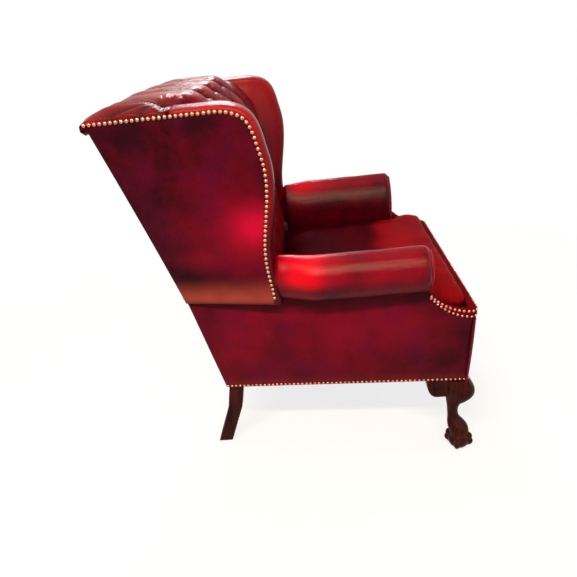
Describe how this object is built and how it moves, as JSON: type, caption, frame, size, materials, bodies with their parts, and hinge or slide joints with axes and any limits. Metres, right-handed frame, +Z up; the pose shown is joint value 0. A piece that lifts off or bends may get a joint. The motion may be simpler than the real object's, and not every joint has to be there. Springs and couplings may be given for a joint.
{
  "type": "wingback chair",
  "caption": "Wingback armchair in leather: deep-buttoned rolled back, wings, rolled arms, loose seat cushion, nailed edges, ball-and-claw front legs and raked rear legs.",
  "frame": {"origin": "on the floor, below the middle of the chair's width and depth", "axes": "+Z up, the sitter faces -Y, and +X is the sitter's left"},
  "size_m": [0.7866, 0.8916, 1.0381],
  "materials": {
    "frame_wood": "planed beech, unfinished",
    "show_wood": "dark polished mahogany",
    "leg_steel": "bright zinc",
    "webbing": "woven jute",
    "body_leather": "glossy, hand-rubbed oxblood",
    "seat_leather": "glossy, hand-rubbed oxblood",
    "dust_cloth": "black cambric"
  },
  "bodies": {
    "chair": {"front_seat_rail": "frame_wood", "left_side_rail": "frame_wood", "right_side_rail": "frame_wood", "back_seat_rail": "frame_wood", "corner_blocks": "frame_wood", "crest_rail": "frame_wood", "back_stay_rail": "frame_wood", "left_arm_post": "frame_wood", "right_arm_post": "frame_wood", "left_arm_rail": "frame_wood", "right_arm_rail": "frame_wood", "left_side_stay": "frame_wood", "right_side_stay": "frame_wood", "left_wing_post": "frame_wood", "right_wing_post": "frame_wood", "left_wing_rail": "frame_wood", "right_wing_rail": "frame_wood", "left_front_leg": "show_wood", "right_front_leg": "show_wood", "left_knee_brackets": "show_wood", "right_knee_brackets": "show_wood", "left_back_post": "show_wood", "right_back_post": "show_wood", "leg_bolts": "leg_steel", "leg_glides": "leg_steel", "seat_webbing": "webbing", "back_webbing": "webbing", "seat_lip": "body_leather", "front_border": "body_leather", "left_outside_arm": "body_leather", "right_outside_arm": "body_leather", "left_outside_wing": "body_leather", "right_outside_wing": "body_leather", "outside_back": "body_leather", "left_arm_pad": "body_leather", "right_arm_pad": "body_leather", "left_arm_facing": "body_leather", "right_arm_facing": "body_leather", "left_wing_pad": "body_leather", "right_wing_pad": "body_leather", "inside_back": "body_leather", "back_buttons": "body_leather", "seat_deck": "seat_leather", "dust_cover": "dust_cloth"},
    "cushion": {"seat_cushion": "seat_leather"}
  },
  "joints": [
    {"name": "cushion_lift", "type": "slide", "parent": "chair", "child": "cushion", "axis": [0, -0.4226, 0.9063], "range_m": [0, 0.35]}
  ]
}
